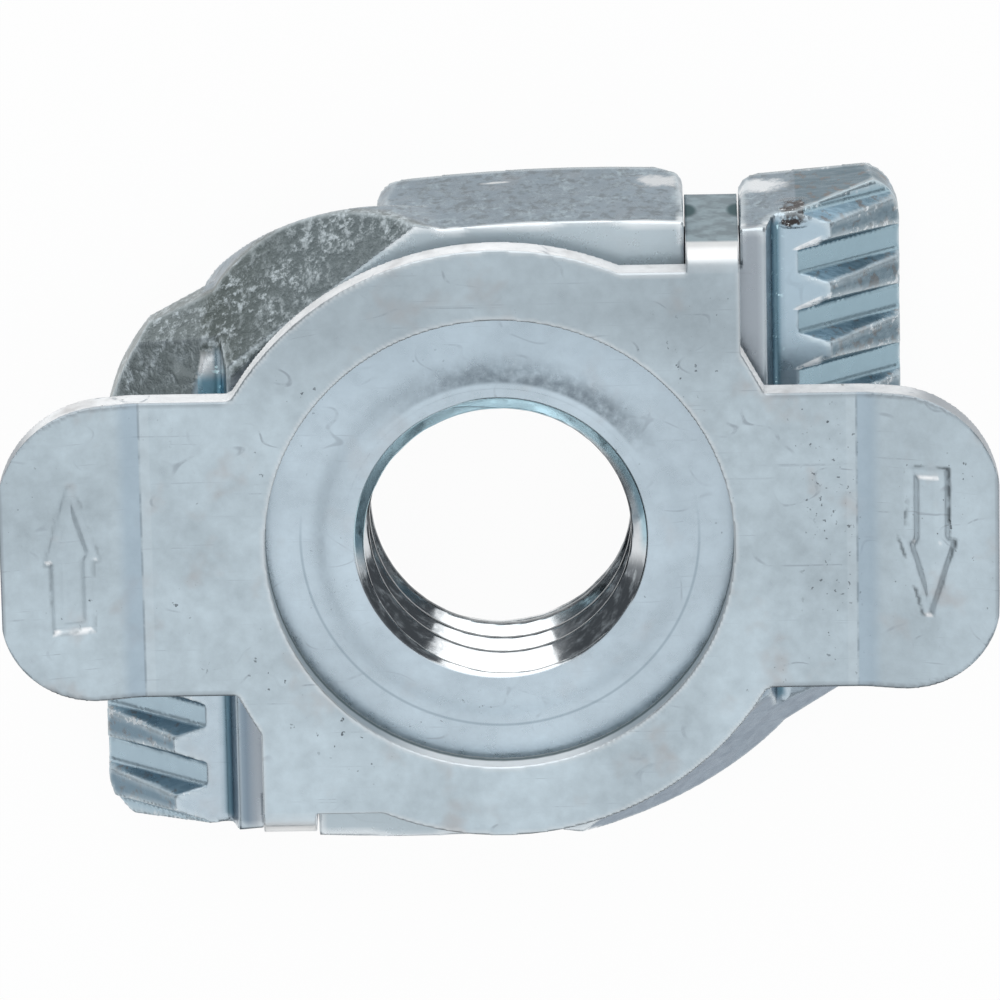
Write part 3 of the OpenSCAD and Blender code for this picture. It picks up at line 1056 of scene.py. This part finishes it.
        # Torn metal, dark, with painted glints on its dents
        torn_with_glints = bench.blend(bench.rise(at.dents, 0.5, 0.7), (0.05, 0.045, 0.045), (0.70, 0.72, 0.73))
        coat.tint(torn_with_glints, torn)

    def dress_thread(self, coat: ZincMaterial, at: BodyPlaces) -> None:
        """Gives the thread bright flanks with dark crests and lower sides darkened in streaks as painted
        reflection, a blue lead-in, and the collar its painted shade.

        Args:
            coat: the body's material.
            at: places on the body.
        """
        bench = at.bench
        bore = bench.product(bench.rise(at.radius, 5.2, 5.1), at.steep)
        coat.tint((0.84, 0.86, 0.87), bore)
        # Painted reflection: the lower sides of the bore darker, with lighter streaks
        beside = bench.rise(bench.plus(at.out, at.ragged), 2.0, 3.1)
        way = bench.node("ShaderNodeCombineXYZ")
        bench.feed(way.inputs["X"], bench.product(bench.math("ARCTAN2", at.y, at.x), 2.5))
        bench.feed(way.inputs["Y"], bench.product(at.z, 2.2))
        streak = bench.rise(bench.noise(way.outputs["Vector"], 2.4, 3.0, 0.7), 0.46, 0.72)
        streaky = bench.blend(streak, (0.12, 0.135, 0.15), (0.62, 0.66, 0.68))
        coat.tint(streaky, bore, beside, bench.rise(at.y, -0.6, -1.4), 0.88)
        coat.roughen(bore, -0.20)
        coat.tint((0.14, 0.15, 0.16), bench.attribute("crest"), 0.8)
        lead = bench.product(bore, bench.rise(at.z, 5.4, 5.6), bench.rise(at.y, -1.0, 0.0))
        coat.tint((0.44, 0.66, 0.75), lead, 0.85)
        coat.flatten(bore)
        # Painted shade: a line in the crease at the collar's foot, on the lower side
        ring = bench.size(bench.minus(at.radius, self.collar_foot_r / MM))
        coat.tint((0.20, 0.27, 0.32), bench.rise(ring, 0.07, 0.01), bench.rise(at.y, 1.5, -1.0), 0.45)
        # Painted shade: a soft dark crescent near the top of the collar, towards the right
        painted_light_share = bench.product(bench.rise(at.radius, 5.33, 5.48), bench.rise(at.radius, 6.5, 5.6))
        painted_light_share = bench.product(painted_light_share, bench.rise(at.y, 2.4, 4.6), bench.rise(at.x, -5.0, 0.0))
        coat.tint((0.17, 0.205, 0.235), painted_light_share, bench.rise(at.ragged, 0.0, 0.75))
        # Painted shade: the collar darker towards its top
        collar = bench.window(at.radius, 5.4, 7.9, 0.1)
        coat.tint((0.22, 0.29, 0.35), collar, bench.rise(at.y, 3.0, 6.5), 0.22)

    def dress_corner(self, coat: ZincMaterial, at: BodyPlaces) -> None:
        """Gives the bevel and the toe of the upper leading corner their tumbled dents, over a painted dark
        reflection and with painted glints on the dents.

        Args:
            coat: the body's material.
            at: places on the body.
        """
        bench = at.bench
        toe = bench.product(bench.rise(at.x, -9.6, -9.9), bench.rise(at.y, 1.0, 2.0))
        toe = bench.product(toe, bench.rise(at.z, 4.02, 3.9), bench.rise(at.steep, 0.06, 0.16))
        low = bench.larger(bench.rise(at.steep, 0.2, 0.5), bench.rise(at.out, 4.6, 5.6))
        bevel = bench.larger(bench.product(self.bevel_share(bench), low), toe)
        # Painted dark reflection as the ground, darker to the left, with painted glints on the dents
        broad = bench.blend(bench.rise(at.x, -11.5, -5.5), (0.115, 0.135, 0.125), (0.175, 0.21, 0.22))
        broad = bench.blend(toe, broad, (0.22, 0.255, 0.26))
        coat.tint(bench.blend(at.dents, broad, (0.66, 0.74, 0.78)), bevel)
        coat.roughen(bevel, 0.06)
        coat.raise_by(bevel, at.relief, 3.0)

    def dress(self, skin: bpy.types.NodeTree, dented: bpy.types.NodeTree) -> None:
        """Gives the body its plating, part by part, and hands the piece over.

        Args:
            skin: the plating group.
            dented: the group for dented metal.
        """
        coat = ZincMaterial("body_plating", BODY_ZINC, skin)
        at = BodyPlaces(coat.bench, dented)
        for part in (
            self.dress_walls,
            self.dress_neck,
            self.dress_teeth,
            self.dress_hollows,
            self.dress_thread,
            self.dress_corner,
        ):
            part(coat, at)
        # Bent-out edges outside the collar brightened: rubbed wear and painted highlight
        coat.paint_rubbed_sheen_and_corner_shade(at.bench.rise(at.radius, 6.9, 7.3), 0.6, 0.0)
        finish = coat.close()
        for piece in (self.skin, self.thread):
            piece.hand_over(self.node, "body_zinc", finish)


@dataclass
class WingPlate:
    """Bent sheet with its wings, tabs and stamped turn signs.

    Attributes:
        node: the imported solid's name.
        grid: grid of the skin, in metres.
        sign_x: distance from the hole axis to the middle of a sign.
        tail_y: height of a sign's tail on the right wing.
        neck_y: height of a sign's head shoulders on the right wing.
        tip_y: height of a sign's tip on the right wing.
        shaft_half: half the width of a sign's shaft.
        head_half: half the width of a sign's head.
        sign_depth: how deep a sign's outline is stamped.
        sign_wall: width of the sloped walls of the outline.
        sign_band: width of the stamped outline.
        front_z: height of the flat front.
        sheet: thickness of the sheet.
        lift: angle by which the wings are bent up, in degrees.
        lift_x: distance from the hole axis to the line where the bent and flat fronts would meet.
        lift_way: length over which the front is drawn out to a wing's end.
        lift_share: share of the way to an upright end that the front is drawn out.
        wing_half: half the width of a wing.
        corner_r: radius of a wing's corners.
    """

    node: str = "wing_plate"
    grid: float = 0.093 * MM
    sign_x: float = 14.1 * MM
    tail_y: float = 2.68 * MM
    neck_y: float = 0.25 * MM
    tip_y: float = -2.52 * MM
    shaft_half: float = 0.74 * MM
    head_half: float = 1.0 * MM
    sign_depth: float = 0.08 * MM
    sign_wall: float = 0.17 * MM
    sign_band: float = 0.46 * MM
    front_z: float = 6.8 * MM
    sheet: float = 1.0 * MM
    lift: float = 15.0
    lift_x: float = 12.01 * MM
    lift_way: float = 2.5 * MM
    lift_share: float = 0.75
    wing_half: float = 5.1 * MM
    corner_r: float = 3.4 * MM
    skin: Skin | None = field(default=None, repr=False)

    def square_ends(self, rows: np.ndarray) -> np.ndarray:
        """Draws the front of each wing out towards the rear's outline, so that its end is nearly upright.

        A point d below the front moves out by a share of (sheet - d) sin(lift), growing smoothly over
        the last part of the wing, and never past the outline, a straight end between two corner arcs.

        Args:
            rows: points of the skin.

        Returns:
            The moved points.
        """
        turn = math.radians(self.lift)
        out = np.abs(rows[:, 0])
        end = out.max()
        below = (self.front_z + (out - self.lift_x) * math.tan(turn) - rows[:, 2]) * math.cos(turn)
        below = np.clip(below, 0.0, self.sheet)
        front_end = end - self.sheet * math.sin(turn)
        grown = smooth_step(out - below * math.sin(turn), front_end - self.lift_way, front_end)
        beside = np.maximum(np.abs(rows[:, 1]) - (self.wing_half - self.corner_r), 0.0)
        edge = end - self.corner_r + np.sqrt(np.maximum(self.corner_r**2 - beside**2, 0.0))
        moved = rows.copy()
        drawn = out + self.lift_share * (self.sheet - below) * math.sin(turn) * grown
        moved[:, 0] = np.sign(rows[:, 0]) * np.minimum(drawn, np.maximum(out, edge))
        return moved

    def sign_outline(self) -> np.ndarray:
        """Corners of a sign on the right wing: tail, shoulders and tip, against the clock.

        Returns:
            One row of x and y for each corner, measured from the sign's middle line.
        """
        half = np.array(
            [
                [self.shaft_half, self.tail_y],
                [self.shaft_half, self.neck_y],
                [self.head_half, self.neck_y],
                [0.16 * self.head_half, self.tip_y],
            ]
        )
        return np.concatenate([half, half[::-1] * [-1.0, 1.0]])

    def depth_inside(self, flat: np.ndarray) -> np.ndarray:
        """Distance from each point to the sign's outline, positive inside it.

        The distance to a side from a to b is the length of p - a - t (b - a), with t the clipped
        share (p - a) . (b - a) / |b - a|^2, and inside follows from the crossings of a level ray.

        Args:
            flat: one row of x and y for each point.

        Returns:
            The signed distances.
        """
        corners = self.sign_outline()
        a, b = corners, np.roll(corners, -1, axis=0)
        side = b - a
        way = flat[:, None, :] - a[None]
        share = np.clip((way * side).sum(2) / (side * side).sum(1), 0.0, 1.0)
        gap = np.linalg.norm(way - share[..., None] * side, axis=2).min(1)
        above = (a[None, :, 1] > flat[:, None, 1]) != (b[None, :, 1] > flat[:, None, 1])
        slope = side[:, 0] / np.where(side[:, 1] == 0.0, 1e-12, side[:, 1])
        meets = flat[:, None, 0] < a[None, :, 0] + (flat[:, None, 1] - a[None, :, 1]) * slope
        inside = (above & meets).sum(1) % 2 == 1
        return np.where(inside, gap, -gap)

    def sink_share(self, flat: np.ndarray) -> np.ndarray:
        """Share of the stamped depth at each point of a sign.

        It goes smoothly from 0 at the outline to 1 one wall's width inside it, and back to 0 over
        the inner side of the band.

        Args:
            flat: one row of x and y for each point.

        Returns:
            The shares.
        """
        depth = self.depth_inside(flat)
        inner = smooth_step(depth, self.sign_band - self.sign_wall, self.sign_band)
        return smooth_step(depth, 0.0, self.sign_wall) * (1.0 - inner)

    def stamp_signs(self, rows: np.ndarray, normals: np.ndarray) -> tuple[np.ndarray, np.ndarray, np.ndarray]:
        """Stamps the outline of the turn sign into the front of both wings, along the normal.

        The left wing is the right one after half a turn. A wall of the band looks up the plate where
        its share of depth grows with y, by the difference over a small step.

        Args:
            rows: points of the skin.
            normals: outward normals at the points.

        Returns:
            The moved points, the nearness to the outline and the share of walls that look up.
        """
        moved = rows.copy()
        line, upward = np.zeros(len(rows)), np.zeros(len(rows))
        for wing in Wing:
            flat = wing.value * rows[:, :2] - [self.sign_x, 0.0]
            near = (np.abs(flat[:, 0]) < 2.0 * MM) & (np.abs(flat[:, 1]) < 4.0 * MM) & (normals[:, 2] > 0.6)
            flat = flat[near]
            step = np.array([0.0, wing.value * 0.25 * self.sign_wall])
            growth = self.sink_share(flat + step) - self.sink_share(flat - step)
            moved[near] -= normals[near] * (self.sign_depth * self.sink_share(flat))[:, None]
            # Nearness to the outline, where the finish paints a line of shade, and walls that look up, where
            # it paints glints
            line[near] = smooth_step(-np.abs(self.depth_inside(flat) - 0.03 * MM), -0.07 * MM, -0.02 * MM)
            upward[near] = smooth_step(growth, 0.25, 0.5)
        return moved, line, upward

    def build(self, node: bpy.types.Object) -> None:
        """Makes the skin, softens its edges, stamps the signs and stores what the finish reads.

        Args:
            node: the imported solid.
        """
        self.skin = Skin(node, "bent_plate", self.grid)
        self.skin.points = self.square_ends(self.skin.points)
        self.skin.soften(2)
        rows, line, upward = self.stamp_signs(self.skin.points, self.skin.normals)
        self.skin.mark_edges()
        self.skin.store("front", smooth_step(self.skin.normals[:, 2], 0.3, 0.8))
        self.skin.points = rows
        self.skin.store("sign_line", line)
        self.skin.store("sign_glint", upward)

    def dress_bends(self, coat: ZincMaterial, at: Places, broken: Socket) -> None:
        """Gives the bends of the wings their band of painted shade, a faint painted highlight and a crease
        line of painted shade, and specks, and paints shade on the front towards the plate's top.

        Args:
            coat: the plate's material.
            at: places on the plate.
            broken: noise that breaks up lines.
        """
        bench = at.bench
        band = bench.product(bench.rise(at.out, 11.8, 11.86), bench.rise(at.out, 12.7, 12.2), at.front)
        # Painted shade on the band past each bend
        coat.tint((0.32, 0.42, 0.51), band, 0.5)
        # Faint painted highlight just inside the crease
        coat.tint((0.66, 0.73, 0.77), bench.window(at.out, 11.5, 11.74, 0.06), 0.14)
        # Painted shade: the front darker towards the plate's top
        coat.tint((0.25, 0.29, 0.32), bench.rise(at.y, 4.5, 7.5), at.front, 0.3)
        # Painted shade along the crease, broken up
        crease = bench.window(at.out, 11.8, 11.82, 0.05)
        coat.tint((0.14, 0.18, 0.22), crease, bench.plus(0.15, broken), at.front, 0.4)
        specks = bench.rise(bench.noise(bench.place_mm(turn=40.0), 4.4, 2.0, 0.7), 0.64, 0.70)
        struck = bench.product(bench.window(at.x, 10.2, 11.75, 0.4), bench.window(at.y, -1.6, 3.4, 1.2))
        coat.tint((0.07, 0.08, 0.09), specks, struck, 0.7)

    def dress_signs(self, coat: ZincMaterial, at: Places, broken: Socket) -> None:
        """Gives the signs their broken dark lines of painted shade, weaker on the left, and painted glints on
        their upper walls.

        Args:
            coat: the plate's material.
            at: places on the plate.
            broken: noise that breaks up lines.
        """
        bench = at.bench
        # Painted shade along the stamped outlines, weaker on the left
        painted_light_share = bench.plus(0.3, bench.product(bench.rise(at.x, -1.0, 1.0), 0.5))
        coat.tint((0.08, 0.095, 0.105), bench.attribute("sign_line"), broken, painted_light_share)
        glint = bench.product(bench.attribute("sign_glint"), bench.minus(1.15, broken))
        coat.tint((0.96, 0.97, 0.98), glint)
        coat.dull(glint, 0.6)

    def dress_tabs(self, coat: ZincMaterial, at: Places) -> Socket:
        """Gives the folded tabs their mottled tone, painted shade beside their edges and a painted highlight
        on their bends, and the hole's wall its painted light and shade.

        Args:
            coat: the plate's material.
            at: places on the plate.

        Returns:
            The mask of the tabs.
        """
        bench = at.bench
        tabs = bench.product(bench.rise(at.reach, 9.2, 9.3), bench.window(at.out, 6.3, 8.0, 0.02))
        blotches = bench.rise(bench.noise(bench.place_mm(), 1.6, 2.0, 0.6), 0.35, 0.65)
        mottled = bench.blend(blotches, (0.205, 0.265, 0.295), (0.33, 0.42, 0.46))
        coat.tint(mottled, tabs, at.steep, 0.9)
        # Painted shade in soft spots beside both edges of each tab
        along = bench.product(bench.minus(at.z, 2.5), 1.15)
        for edge_x in (6.33, 8.0):
            across = bench.product(bench.minus(at.out, edge_x), 2.6)
            away = bench.plus(bench.product(across, across), bench.product(along, along))
            coat.tint((0.05, 0.11, 0.12), tabs, at.steep, bench.rise(away, 1.1, 0.3), 0.85)
        # Painted light on the hole's wall: white in the middle, grey at the sides, with a dark line of
        # painted shade at its foot
        hole = bench.product(at.steep, bench.rise(at.radius, 8.1, 7.95))
        wall = bench.blend(bench.rise(at.out, 4.5, 2.0), (0.36, 0.42, 0.46), (0.93, 0.95, 0.96))
        coat.tint(wall, hole, 0.9)
        coat.tint((0.06, 0.10, 0.11), hole, bench.rise(at.z, 6.28, 6.08), 0.9)
        # Painted highlight on the tabs' bends
        coat.tint((0.80, 0.81, 0.81), tabs, bench.window(at.z, 6.2, 6.62, 0.22))
        return tabs

    def dress_rims(self, coat: ZincMaterial, at: Places, tabs: Socket) -> None:
        """Gives the cut edges of the sheet their dull white, grey tips and soft dark lines of painted shade.

        Args:
            coat: the plate's material.
            at: places on the plate.
            tabs: mask of the tabs, which are left out.
        """
        bench = at.bench
        coat.roughen(at.steep, 0.38)
        ends = bench.larger(bench.rise(at.x, 13.2, 14.4), bench.rise(at.x, -14.9, -16.0))
        tip = bench.product(at.steep, ends)
        coat.tint((0.40, 0.43, 0.46), tip, 0.85)
        plain = bench.other(bench.larger(tabs, tip))
        coat.dull(at.steep, plain, 0.88)
        wings = bench.rise(at.out, 8.6, 9.2)
        # Bent-out edges brightened, partly painted highlight, and painted shade in inner corners, off the
        # tabs and the wings
        coat.paint_rubbed_sheen_and_corner_shade(bench.product(plain, bench.other(wings)), 0.45, 0.35)
        # Painted shade: soft dark lines along the bent-out front edges of the wings
        coat.tint((0.20, 0.22, 0.24), at.edge, at.front, wings, 0.55)

    def dress(self, skin: bpy.types.NodeTree) -> None:
        """Gives the plate its plating, part by part, and hands the piece over.

        Args:
            skin: the plating group.
        """
        coat = ZincMaterial("plate_plating", PLATE_ZINC, skin)
        at = Places(coat.bench)
        broken = at.bench.rise(at.bench.noise(at.bench.place_mm(), 1.5, 3.0), 0.44, 0.60)
        self.dress_bends(coat, at, broken)
        self.dress_signs(coat, at, broken)
        self.dress_rims(coat, at, self.dress_tabs(coat, at))
        self.skin.hand_over(self.node, "plate_zinc", coat.close())


@dataclass(frozen=True)
class PhotoCamera:
    """Long-lens camera that looks down on the nut's front, a little from above.

    Attributes:
        tilt: angle from the hole's axis up the picture, in degrees.
        turn: angle from the hole's axis to the right, in degrees.
        roll: turn of the picture about the line of sight, in degrees.
        distance: distance to the nut, in metres.
        scale: size of a picture point at the nut, in metres.
        centre: picture point of the hole axis on the plate's front.
        front_z: height of the plate's front.
        side: side of the picture, in points.
        sensor: width of the sensor, in millimetres.
    """

    tilt: float = 17.8
    turn: float = 0.8
    roll: float = 1.15
    distance: float = 0.35
    scale: float = 0.033 * MM
    centre: tuple[float, float] = (499.5, 545.5)
    front_z: float = 6.8 * MM
    side: int = 1000
    sensor: float = 36.0

    def place(self) -> bpy.types.Object:
        """Makes the camera and hands it to the scene.

        Returns:
            The camera.
        """
        tilt, turn, roll = (math.radians(a) for a in (self.tilt, self.turn, self.roll))
        view = Vector((math.sin(turn) * math.cos(tilt), math.sin(tilt), math.cos(turn) * math.cos(tilt)))
        level = Vector((math.cos(turn), 0.0, -math.sin(turn)))
        rise = view.cross(level)
        right = math.cos(roll) * level - math.sin(roll) * rise
        up = math.sin(roll) * level + math.cos(roll) * rise
        middle = self.side / 2.0
        aim = Vector((0.0, 0.0, self.front_z))
        aim -= right * (self.centre[0] - middle) * self.scale
        aim += up * (self.centre[1] - middle) * self.scale
        data = bpy.data.cameras.new("photo_camera")
        data.sensor_width = self.sensor
        data.lens = self.sensor * self.distance / (self.side * self.scale)
        data.clip_start = 0.01
        camera = bpy.data.objects.new("photo_camera", data)
        basis = Matrix((right, up, view)).transposed().to_4x4()
        camera.matrix_world = Matrix.Translation(aim + view * self.distance) @ basis
        bpy.context.scene.collection.objects.link(camera)
        bpy.context.scene.camera = camera
        return camera


@dataclass(frozen=True)
class Lamp:
    """A square soft lamp that faces the nut.

    Attributes:
        name: name of the lamp.
        direction: direction from the nut to the lamp.
        distance: distance from the nut, in metres.
        side: side of the lamp, in metres.
        glow: brightness of the lamp's face, where 1 shows as white.
    """

    name: str
    direction: tuple[float, float, float]
    distance: float
    side: float
    glow: float

    def place(self) -> bpy.types.Object:
        """Makes the lamp: its power is pi times its area times its glow.

        Returns:
            The lamp.
        """
        data = bpy.data.lights.new(self.name, "AREA")
        data.shape = "SQUARE"
        data.size = self.side
        data.energy = math.pi * self.side * self.side * self.glow
        lamp = bpy.data.objects.new(self.name, data)
        way = Vector(self.direction).normalized()
        turn = way.to_track_quat("Z", "Y").to_matrix().to_4x4()
        lamp.matrix_world = Matrix.Translation(way * self.distance) @ turn
        bpy.context.scene.collection.objects.link(lamp)
        return lamp


@dataclass(frozen=True)
class Studio:
    """Pale floor, soft lamps and an even pale room.

    Attributes:
        floor_half: half the floor's side, in metres.
        floor_z: height of the floor.
        floor_colour: colour of the floor.
        floor_white: share of plain white in the floor as it is seen; the rest keeps the shadow.
        room: brightness and colour of the room.
        lamps: the soft lamps.
    """

    floor_half: float = 1.5
    floor_z: float = -0.02 * MM
    floor_colour: Colour = (0.88, 0.88, 0.88)
    floor_white: float = 0.95
    room: Colour = (0.22, 0.235, 0.25)
    lamps: tuple[Lamp, ...] = (
        Lamp("front_softbox", (0.09, -0.37, 0.93), 0.55, 1.2, 0.755),
        Lamp("top_softbox", (0.0, 0.85, 0.52), 0.60, 0.72, 1.45),
        Lamp("right_softbox", (0.94, -0.30, 0.20), 0.60, 0.36, 0.6),
        Lamp("left_softbox", (-0.94, -0.30, 0.20), 0.60, 0.36, 0.6),
    )

    def floor(self) -> bpy.types.Object:
        """Makes the floor, a grid of two parameters, and its pale material that keeps a shadow.

        Returns:
            The floor.
        """
        steps = np.linspace(-self.floor_half, self.floor_half, 3)
        y, x = np.meshgrid(steps[::-1], steps[::-1], indexing="ij")
        mesh = grid_mesh("pale_floor", np.stack([x, -y, np.full_like(x, self.floor_z)], axis=-1), False)
        floor = Piece("pale_floor", mesh).piece
        material = bpy.data.materials.new("pale_floor")
        material.use_nodes = True
        material.node_tree.nodes.clear()
        bench = Bench(material.node_tree)
        path = bench.node("ShaderNodeLightPath")
        seen = bench.larger(path.outputs["Is Camera Ray"], path.outputs["Is Glossy Ray"])
        seen = bench.larger(seen, path.outputs["Is Transmission Ray"])
        matt = bench.node("ShaderNodeBsdfDiffuse")
        bench.feed(matt.inputs["Color"], self.floor_colour)
        white = bench.node("ShaderNodeEmission")
        white.inputs["Strength"].default_value = 1.0
        mix = bench.node("ShaderNodeMixShader")
        bench.feed(mix.inputs["Fac"], bench.product(seen, self.floor_white))
        bench.feed(mix.inputs[1], matt.outputs[0])
        bench.feed(mix.inputs[2], white.outputs[0])
        out = bench.node("ShaderNodeOutputMaterial")
        bench.feed(out.inputs["Surface"], mix.outputs[0])
        mesh.materials.append(material)
        return floor

    def build(self) -> None:
        """Sets up floor, lamps, room and plain view settings."""
        scene = bpy.context.scene
        scene.view_settings.view_transform = "Standard"
        world = bpy.data.worlds.new("pale_room")
        world.use_nodes = True
        background = next(n for n in world.node_tree.nodes if n.type == "BACKGROUND")
        background.inputs["Color"].default_value = (*self.room, 1.0)
        scene.world = world
        self.floor()
        for lamp in self.lamps:
            lamp.place()


def main() -> None:
    """Builds the studio and both pieces in order."""
    logging.basicConfig(level=logging.INFO, format="%(name)s: %(message)s")
    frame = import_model()
    Studio().build()
    PhotoCamera().place()
    plating, dented = zinc_skin_group(), dented_metal_group()
    body = NutBody()
    body.build(frame["nodes"][body.node])
    body.dress(plating, dented)
    plate = WingPlate()
    plate.build(frame["nodes"][plate.node])
    plate.dress(plating)


if __name__ == "__main__":
    main()
